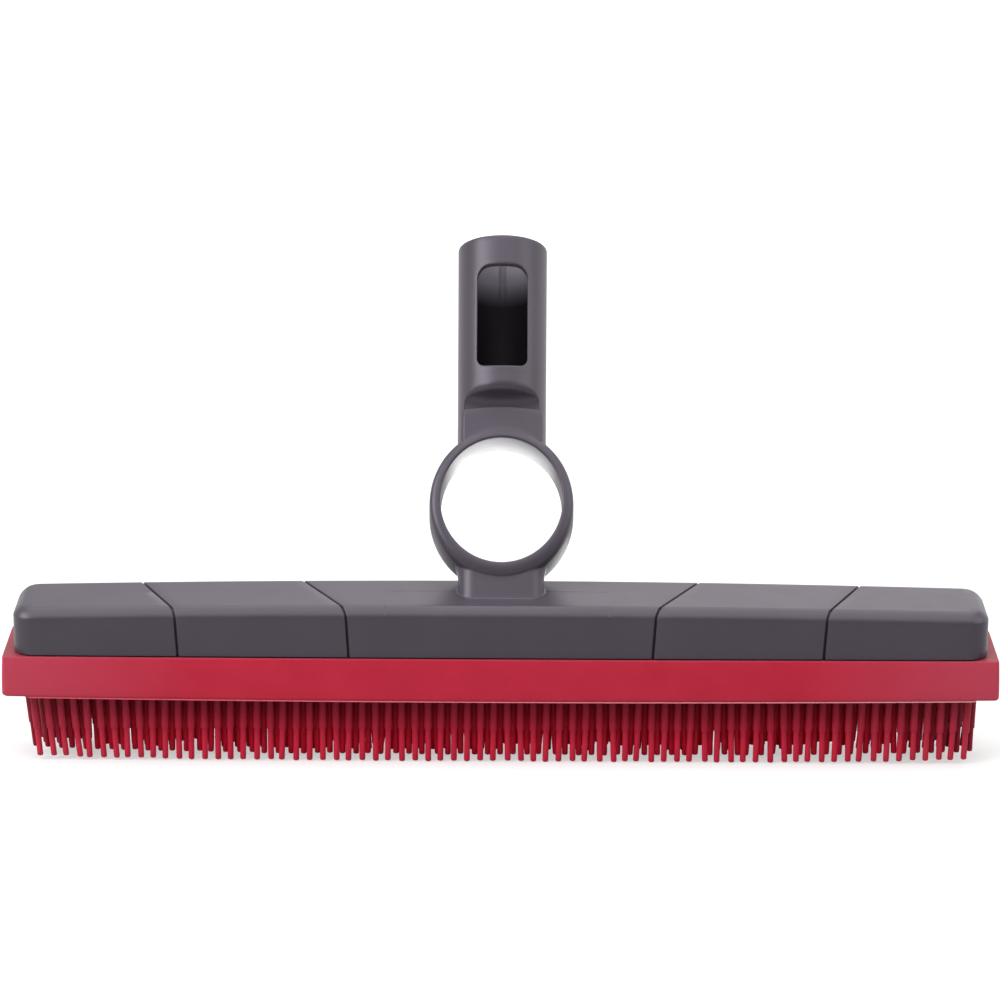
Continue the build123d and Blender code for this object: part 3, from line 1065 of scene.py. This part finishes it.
def surface(name, dark, light, rough, gloss, grain, grain_depth, patch, tint=(1, 1, 1)):
    """Moulded material: cloudy colour, uneven gloss and a fine grain."""
    made, tree, shader = new_material(name)
    shader.inputs["Specular IOR Level"].default_value = gloss
    shader.inputs["Specular Tint"].default_value = (*tint, 1)
    here = object_point(tree)
    colour = clouds(tree, noise(tree, here, patch, CLOUD_DETAIL), dark, light)
    tree.links.new(colour, shader.inputs["Base Color"])
    uneven = graded(tree, noise(tree, here, patch / 4, GRAIN_DETAIL), 0, 1, *rough)
    tree.links.new(uneven, shader.inputs["Roughness"])
    bump = add_node(tree, "ShaderNodeBump", {
        "Height": noise(tree, here, grain, GRAIN_DETAIL), "Strength": GRAIN_STRENGTH,
        "Distance": grain_depth * MM})
    tree.links.new(bump.outputs["Normal"], shader.inputs["Normal"])
    return made


def rubber(name, dark, light, rough, gloss):
    return surface(name, dark, light, rough, gloss, RUBBER_GRAIN, RUBBER_GRAIN_DEPTH, RUBBER_PATCH)


def pass_over(made, axis, start, end, colour, most=1.0, both_ends=False):
    """Let a material's colour pass into another one along an axis, or along X towards both ends."""
    tree = made.node_tree
    base = tree.nodes["Principled BSDF"].inputs["Base Color"]
    value = axis_value(tree, object_point(tree), axis)
    if both_ends:
        value = add_node(tree, "ShaderNodeMath", {0: value}, operation="ABSOLUTE").outputs["Value"]
    share = graded(tree, value, start * MM, end * MM, 0.0, most)
    tree.links.new(blended(tree, share, base.links[0].from_socket, (*colour, 1)), base)


def grey_plastic():
    """Dark plastic of the head."""
    return surface("grey_plastic", dark=(0.051, 0.041, 0.056), light=(0.059, 0.048, 0.064),
                   rough=(0.32, 0.41), gloss=0.5, grain=0.35, grain_depth=0.03, patch=30,
                   tint=(0.99, 0.935, 1.05))


def grey_bore():
    """Unpolished wall inside the socket, with painted shade deep in the bore and painted light towards the
    mouth.
    """
    # painted shade deep in the bore and painted light near the mouth, where light comes in
    dark, light = (0.010, 0.006, 0.0105, 1), (0.14, 0.127, 0.153, 1)
    rough, gloss, patch = (0.5, 0.6), 0.15, 2.0
    made, tree, shader = new_material("grey_bore")
    here = object_point(tree)
    height = vector_value(tree, "DOT_PRODUCT", here, UP)
    start, end = ((FOOT.dot(UP) + s) * MM for s in BORE_SHADE_TO_LIGHT)
    colour = blended(tree, graded(tree, height, start, end), dark, light)
    tree.links.new(colour, shader.inputs["Base Color"])
    uneven = graded(tree, noise(tree, here, patch, GRAIN_DETAIL), 0, 1, *rough)
    tree.links.new(uneven, shader.inputs["Roughness"])
    shader.inputs["Specular IOR Level"].default_value = gloss
    return made


def red_rubber():
    """Rubber of the pad, paler towards its ends, with painted shade and a grey sheen darkening its ledge
    along the top.
    """
    made = rubber("red_rubber", (0.50, 0.010, 0.036), (0.55, 0.014, 0.045),
                  rough=(0.42, 0.55), gloss=0.3)
    pass_over(made, "X", *END_FADE, END_RED, both_ends=True)
    # painted shade with a grey sheen: darker and greyer along the top, against the block
    pass_over(made, "Z", PAD_TOP - LEDGE_SHADE_FADE, PAD_TOP, (0.3, 0.04, 0.06))
    return made


def red_rim():
    """Rim round the strands, pale pink as a painted highlight along its edge, brighter towards the right.
    """
    # painted highlight: pale pink for the light that the rim's edge catches, brighter on the right
    made = rubber("red_rim", (0.95, 0.12, 0.18), (1.0, 0.14, 0.21),
                  rough=(0.4, 0.5), gloss=0.1)
    pass_over(made, "X", *RIM_HIGHLIGHT_FADE, (1.0, 0.42, 0.48))
    return made


def red_strands():
    """Strands of the first and the last row, with painted shade darkening their roots, and paler towards
    the ends.
    """
    made = rubber("red_strands", (0.62, 0.016, 0.050), (0.68, 0.020, 0.058),
                  rough=(0.45, 0.6), gloss=0.2)
    # painted shade: darker towards the roots, under the pad
    pass_over(made, "Z", *ROOT_SHADE, (0.1, 0.002, 0.012))
    pass_over(made, "X", *END_FADE, END_RED, most=0.4, both_ends=True)
    return made


def red_inner_strands():
    """Strands of the rows between: a lighter red as painted light where the outer rows shade them, with
    painted shade darkening their roots and their ends.
    """
    # painted light: a lighter red than the first and last rows, which stand in front of these
    made = rubber("red_inner_strands", (0.85, 0.012, 0.05), (0.92, 0.016, 0.06),
                  rough=(0.45, 0.6), gloss=0.2)
    # painted shade: darker towards the roots
    pass_over(made, "Z", *ROOT_SHADE, (0.1, 0.001, 0.009))
    # painted shade: darker towards the ends
    pass_over(made, "X", *INNER_END_SHADE, (0.3, 0.01, 0.03), both_ends=True)
    return made


# Stage

def floor_shine(tree, here, away):
    """Light for shiny surfaces: a spot with two slanting edges, and the floor farther off."""
    spot = graded(tree, away, 0.0, GLOW_REACH, GLOW, 0.0, "SMOOTHSTEP")
    for way, start, end in (LEFT_EDGE, RIGHT_EDGE):
        inside = graded(tree, vector_value(tree, "DOT_PRODUCT", here, way), start, end)
        spot = combined(tree, "MULTIPLY", spot, inside)
    return combined(tree, "ADD", spot, graded(tree, away, *SHINE_REACH, *SHINE_LEVELS))


def floor_material():
    """Pale and matt; white to the camera but for a soft shadow."""
    made, tree, shader = new_material("floor")
    shader.inputs["Roughness"].default_value = FLOOR_ROUGHNESS
    shader.inputs["Specular IOR Level"].default_value = 0.0
    shader.inputs["Emission Color"].default_value = WHITE
    path = add_node(tree, "ShaderNodeLightPath", {})
    here = object_point(tree)
    away = vector_value(tree, "DISTANCE", here, GLOW_PLACE)
    behind = graded(tree, axis_value(tree, here, "Y"), *MIRROR_START)
    mirrored = combined(tree, "MULTIPLY", behind, path.outputs["Is Glossy Ray"])
    tree.links.new(graded(tree, mirrored, 0, 1, FLOOR_GREY, MIRROR_GREY), shader.inputs["Base Color"])
    shine = combined(tree, "MULTIPLY", floor_shine(tree, here, away), mirrored)
    white = graded(tree, away, *WHITE_REACH, *WHITE_LEVELS)
    shown = combined(tree, "MULTIPLY", white, path.outputs["Is Camera Ray"])
    tree.links.new(combined(tree, "ADD", shine, shown), shader.inputs["Emission Strength"])
    return made


def studio_floor():
    skin = Skin()
    steps = spread(-FLOOR_HALF, FLOOR_HALF, 4)
    skin.grid([[(x, y, FLOOR_LEVEL) for x in steps] for y in steps])
    floor = skin.build("floor")
    floor.data.materials.append(floor_material())


def studio_world():
    """White to the camera; to the object, bright behind and dimmer elsewhere."""
    world = bpy.data.worlds.new("world")
    bpy.context.scene.world = world
    world.use_nodes = True
    tree = world.node_tree
    path = add_node(tree, "ShaderNodeLightPath", {})
    way = add_node(tree, "ShaderNodeTexCoord", {}).outputs["Generated"]
    level = graded(tree, path.outputs["Is Glossy Ray"], 0, 1, WORLD_MATT, 1.0)
    for axis, *change in WORLD_CHANGES:
        level = combined(tree, "MULTIPLY", level, graded(tree, axis_value(tree, way, axis), *change))
    around = add_node(tree, "ShaderNodeBackground", {"Color": WHITE, "Strength": level})
    shown = add_node(tree, "ShaderNodeBackground", {"Color": WHITE, "Strength": 1.0})
    both = add_node(tree, "ShaderNodeMixShader", {
        0: path.outputs["Is Camera Ray"], 1: around.outputs["Background"], 2: shown.outputs["Background"]})
    tree.links.new(both.outputs["Shader"], tree.nodes["World Output"].inputs["Surface"])


def area_lamp(name, place, target, size, power):
    """Soft rectangular lamp, aimed at a point."""
    data = bpy.data.lights.new(name, "AREA")
    data.shape = "RECTANGLE"
    data.size, data.size_y = size
    data.energy = power
    lamp = new_object(name, data)
    lamp.location = place
    lamp.rotation_euler = (Vector(target) - Vector(place)).to_track_quat("-Z", "Y").to_euler()


def camera():
    """Long lens, a little above the object and square on to it."""
    data = bpy.data.cameras.new("camera")
    data.lens = CAMERA_LENS
    data.sensor_width = CAMERA_SENSOR
    data.clip_end = CAMERA_REACH
    made = new_object("camera", data)
    pitch = Euler((radians(90 - CAMERA_PITCH), 0, 0)).to_matrix().to_4x4()
    roll = Matrix.Rotation(radians(CAMERA_ROLL), 4, "Z")
    made.matrix_world = Matrix.Translation(Vector(CAMERA_PLACE) * MM) @ pitch @ roll
    bpy.context.scene.camera = made


# Pieces

def place(obj, material, slot, node):
    """Give a piece its material and put it in the frame in a CAD node's stead."""
    obj.data.materials.append(material)
    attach(obj, "root")
    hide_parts(node)


def finish_faces(obj, material, chosen):
    """Give some of a piece's faces their own material."""
    obj.data.materials.append(material)
    for face in obj.data.polygons:
        if chosen(face.center):
            face.material_index = 1


head = head_moulding()
place(head, grey_plastic(), "grey_plastic", "head")
finish_faces(head, grey_bore(), in_bore)
pad = rubber_pad()
place(pad, red_rubber(), "red_rubber", "rubber_pad")
finish_faces(pad, red_rim(), on_rim)
outer_red, inner_painted_red = red_strands(), red_inner_strands()
for number in range(1, ROWS + 1):
    low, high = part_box(f"bristle_row_{number}")
    middle = (low.y + high.y) / 2 / MM
    material = outer_red if number in (1, ROWS) else inner_painted_red
    place(strand_row(number, middle), material, "red_rubber", f"bristle_row_{number}")

studio_floor()
studio_world()
for lamp in LAMPS:
    area_lamp(*lamp)
camera()
bpy.context.scene.view_settings.view_transform = "Standard"
